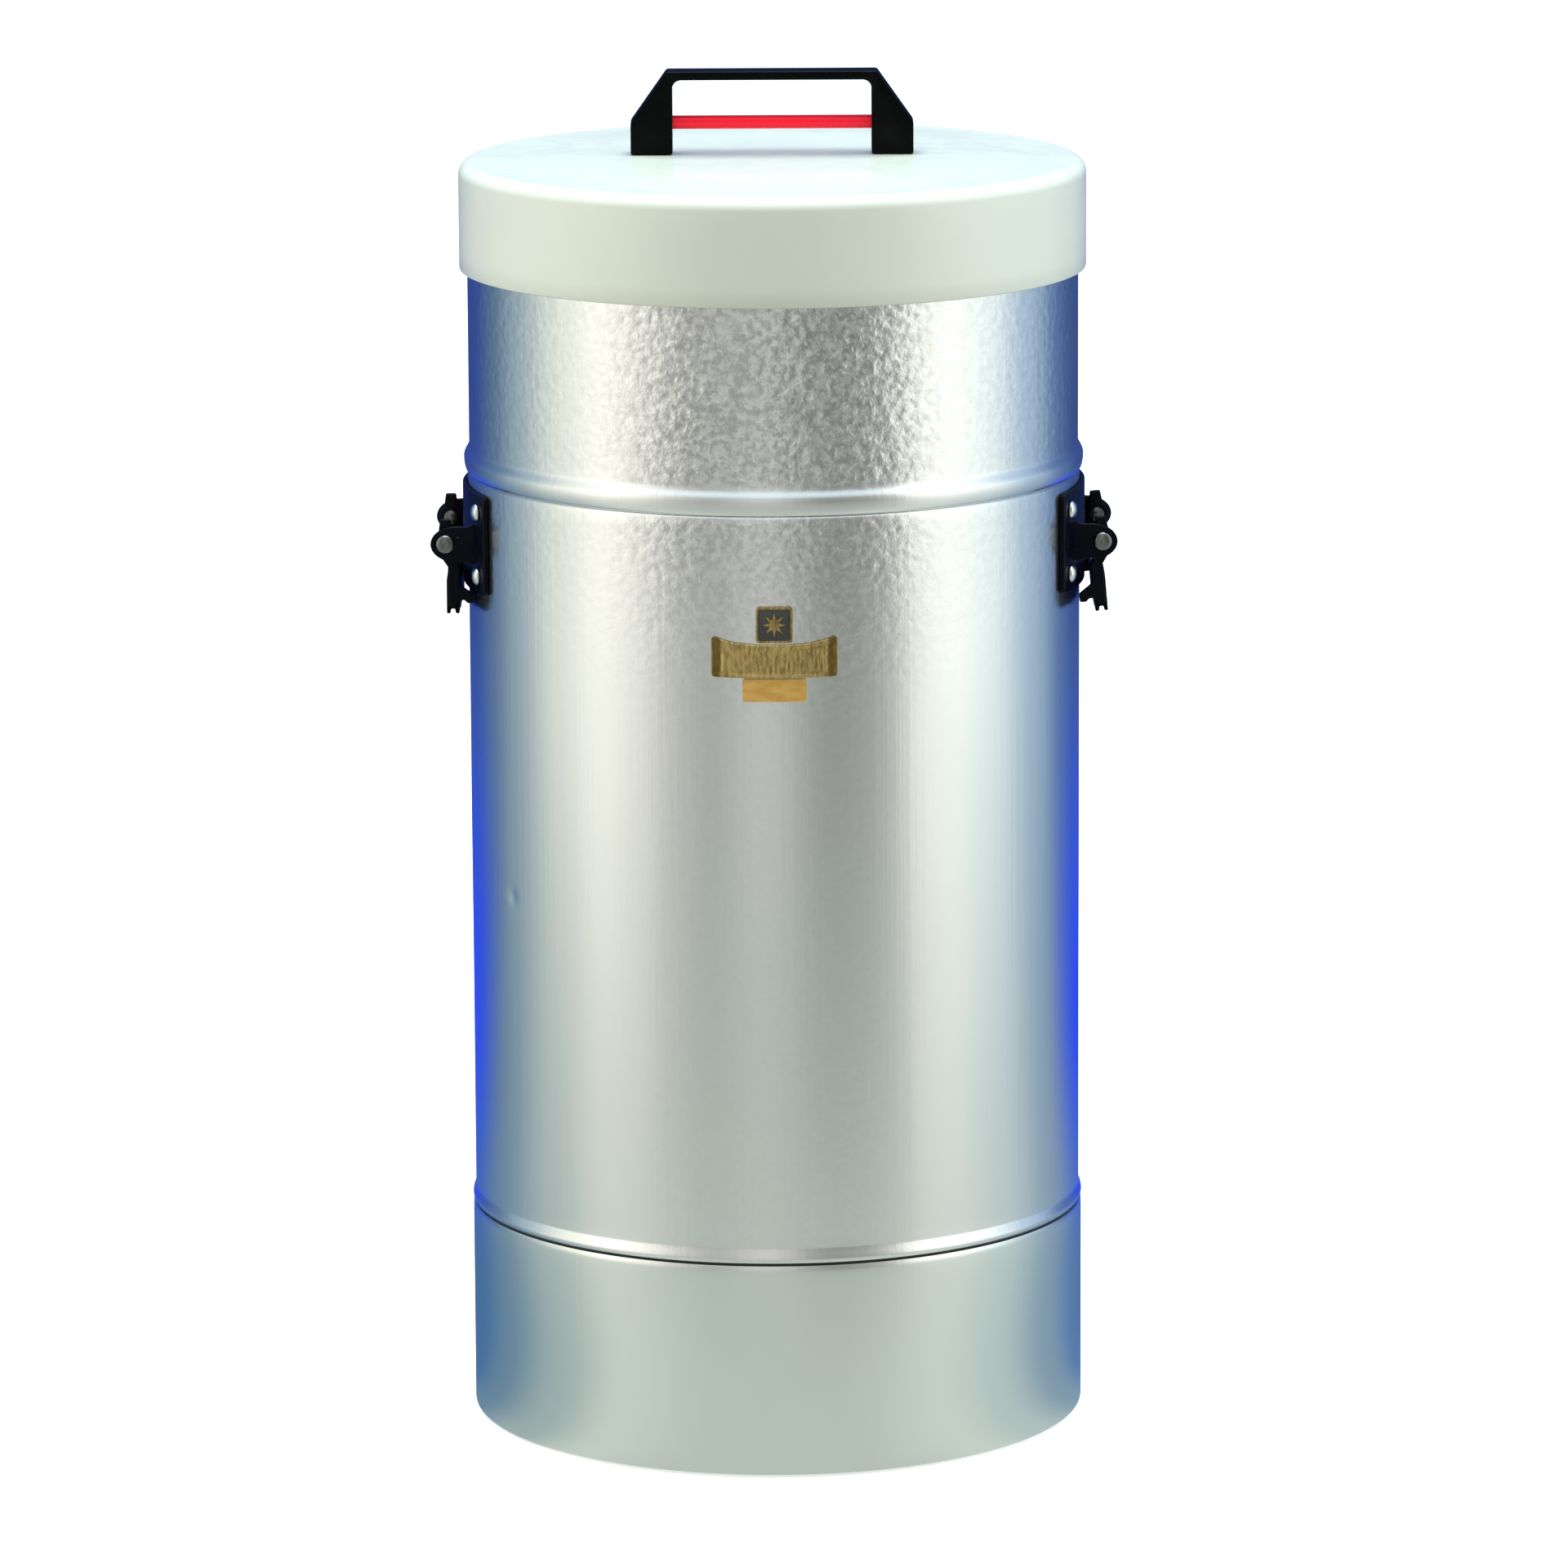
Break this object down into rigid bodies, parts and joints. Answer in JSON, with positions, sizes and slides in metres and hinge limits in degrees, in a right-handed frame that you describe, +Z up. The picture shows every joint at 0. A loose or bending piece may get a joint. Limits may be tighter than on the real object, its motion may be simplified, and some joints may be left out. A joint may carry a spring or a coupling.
{
  "type": "liquid nitrogen dewar",
  "caption": "Tall cylindrical double-walled glass flask in a beaded aluminium casing, with a loose insulated lid carrying a bow handle and folding carrying handles on both sides.",
  "frame": {"origin": "centre of the base, on the surface that the dewar stands on", "axes": "+Z up along the casing's axis, the nameplate faces -Y, the side handles are at +X and -X"},
  "size_m": [0.312, 0.2856, 0.6224],
  "materials": {
    "casing_aluminium": "satin rolled sheet, faintly mottled",
    "lid_plastic": "cream moulding, semi-gloss",
    "neck_plastic": "white moulding",
    "insulation_foam": "moulded bead foam",
    "packing_felt": "pressed felt",
    "gasket_silicone": "grey silicone",
    "black_rubber": "matt black rubber",
    "black_plastic": "fine-grained black moulding",
    "red_plastic": "smooth red rod",
    "black_steel": "black lacquered steel sheet",
    "bright_steel": "nickel-plated steel",
    "silvered_glass": "borosilicate glass, silvered on the vacuum side",
    "brass": "stamped and lacquered brass",
    "emblem_enamel": "black enamel",
    "amber_label": "amber foil label"
  },
  "bodies": {
    "casing": {"casing_upper": "casing_aluminium", "casing_main": "casing_aluminium", "base_cup": "casing_aluminium", "foot_ring": "black_rubber", "neck_ring": "neck_plastic", "rim_gasket": "gasket_silicone", "glass_inner": "silvered_glass", "glass_outer": "silvered_glass", "glass_support": "insulation_foam", "packing_ring_lower": "packing_felt", "packing_ring_upper": "packing_felt", "vacuum_spacer_1": "packing_felt", "vacuum_spacer_2": "packing_felt", "vacuum_spacer_3": "packing_felt", "nameplate": "brass", "emblem_tile": "emblem_enamel", "label_strip": "amber_label", "left_handle_plate": "black_steel", "left_rivet_1": "bright_steel", "left_rivet_2": "bright_steel", "left_rivet_3": "bright_steel", "left_rivet_4": "bright_steel", "left_pin_front": "bright_steel", "left_pin_rear": "bright_steel", "right_handle_plate": "black_steel", "right_rivet_1": "bright_steel", "right_rivet_2": "bright_steel", "right_rivet_3": "bright_steel", "right_rivet_4": "bright_steel", "right_pin_front": "bright_steel", "right_pin_rear": "bright_steel"},
    "lid": {"lid_shell": "lid_plastic", "lid_insulation": "insulation_foam", "lid_gasket": "gasket_silicone", "lid_handle": "black_plastic", "handle_crossbar": "red_plastic", "handle_strap": "bright_steel", "handle_screw_left": "bright_steel", "handle_screw_right": "bright_steel"},
    "left_side_handle": {"left_bail": "black_steel", "left_grip": "black_plastic"},
    "right_side_handle": {"right_bail": "black_steel", "right_grip": "black_plastic"}
  },
  "joints": [
    {"name": "lid_lift", "type": "slide", "parent": "casing", "child": "lid", "axis": [0, 0, 1], "range_m": [0, 0.15]},
    {"name": "left_handle_swing", "type": "hinge", "parent": "casing", "child": "left_side_handle", "pos_m": [-0.1492, 0, 0.4116], "axis": [0, 1, 0], "range_deg": [0, 90]},
    {"name": "right_handle_swing", "type": "hinge", "parent": "casing", "child": "right_side_handle", "pos_m": [0.1492, 0, 0.4116], "axis": [0, -1, 0], "range_deg": [-5, 85]}
  ]
}
